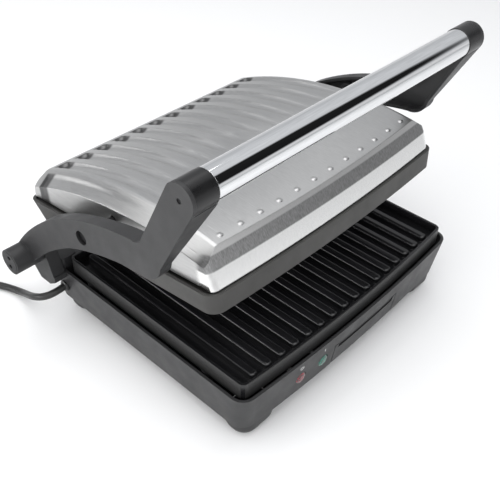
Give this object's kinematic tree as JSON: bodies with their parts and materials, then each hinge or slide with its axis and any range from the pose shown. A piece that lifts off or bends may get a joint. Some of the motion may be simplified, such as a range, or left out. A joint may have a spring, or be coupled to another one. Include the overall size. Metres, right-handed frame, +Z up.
{
  "type": "panini press",
  "caption": "Contact grill with ribbed lower and upper plates, a ridged brushed-steel lid carried on two curved arms with a tube handle, and a front drip tray.",
  "frame": {"origin": "on the table the press stands on, under the middle of the lower grill plate", "axes": "+X to the right of a person facing the front, +Y to the back, +Z up"},
  "size_m": [0.5044, 0.4257, 0.2799],
  "materials": {
    "matte_black_plastic": "fine grained moulding",
    "gloss_black_plastic": "smooth moulding",
    "dark_trim_plastic": "fine grained moulding",
    "coated_plate": "glossy black non-stick coating",
    "brushed_lid_steel": "brushed stainless sheet",
    "chrome_tube": "polished plating",
    "steel_rod": "turned",
    "plated_screw": "zinc plated",
    "black_screw": "black oxide",
    "heater_steel": "heat-tinted sheath",
    "reflector_aluminium": "bright rolled",
    "light_ceramic": "unglazed",
    "red_lens": "translucent",
    "green_lens": "translucent",
    "lamp_glass": "clear",
    "black_rubber": "matte",
    "cord_rubber": "satin flexible sheath",
    "tie_plastic": "flexible tie",
    "plug_brass": "nickel plated"
  },
  "bodies": {
    "base": {"base_bottom_cover": "matte_black_plastic", "base_housing": "matte_black_plastic", "bottom_cover_screws": "plated_screw", "cord_coil": "cord_rubber", "cord_gland": "cord_rubber", "cord_tail": "cord_rubber", "cord_tie": "tie_plastic", "green_indicator_lens": "green_lens", "indicator_lamps": "lamp_glass", "left_hinge_lug": "matte_black_plastic", "left_hinge_pin": "steel_rod", "lower_grill_plate": "coated_plate", "lower_heat_reflector": "reflector_aluminium", "lower_heating_element": "heater_steel", "plug_body": "cord_rubber", "plug_pins": "plug_brass", "power_cord": "cord_rubber", "red_indicator_lens": "red_lens", "right_hinge_lug": "matte_black_plastic", "right_hinge_pin": "steel_rod", "rubber_feet": "black_rubber", "terminal_block": "light_ceramic", "thermal_fuse": "light_ceramic", "thermostat": "light_ceramic"},
    "arms": {"left_arm": "matte_black_plastic", "left_handle_collar": "gloss_black_plastic", "left_hinge_cap": "matte_black_plastic", "left_pivot_bolt": "black_screw", "right_arm": "matte_black_plastic", "right_handle_collar": "gloss_black_plastic", "right_hinge_cap": "matte_black_plastic", "right_pivot_bolt": "black_screw", "handle_bar": "chrome_tube", "handle_core": "steel_rod", "handle_screws": "black_screw"},
    "lid": {"lid_cover": "brushed_lid_steel", "lid_trim": "dark_trim_plastic", "upper_grill_plate": "coated_plate", "upper_heating_element": "heater_steel", "upper_heat_reflector": "reflector_aluminium", "left_pivot_bracket": "steel_rod", "right_pivot_bracket": "steel_rod", "upper_thermal_fuse": "light_ceramic", "upper_wiring_block": "light_ceramic"},
    "drip_tray_body": {"drip_tray": "matte_black_plastic"}
  },
  "joints": [
    {"name": "arm_hinge", "type": "hinge", "parent": "base", "child": "arms", "pos_m": [0, 0.1365, 0.089], "axis": [-1, 0, 0], "range_deg": [-22.9, 50]},
    {"name": "lid_pivot", "type": "hinge", "parent": "arms", "child": "lid", "pos_m": [0, 0.0357, 0.1657], "axis": [-1, 0, 0], "range_deg": [-34.8, 16]},
    {"name": "drip_tray_slide", "type": "slide", "parent": "base", "child": "drip_tray_body", "axis": [0, -1, 0], "range_m": [0, 0.11]}
  ],
  "couplings": [
    {"joint": "lid_pivot", "follows": "arm_hinge", "ratio": -0.6946}
  ]
}
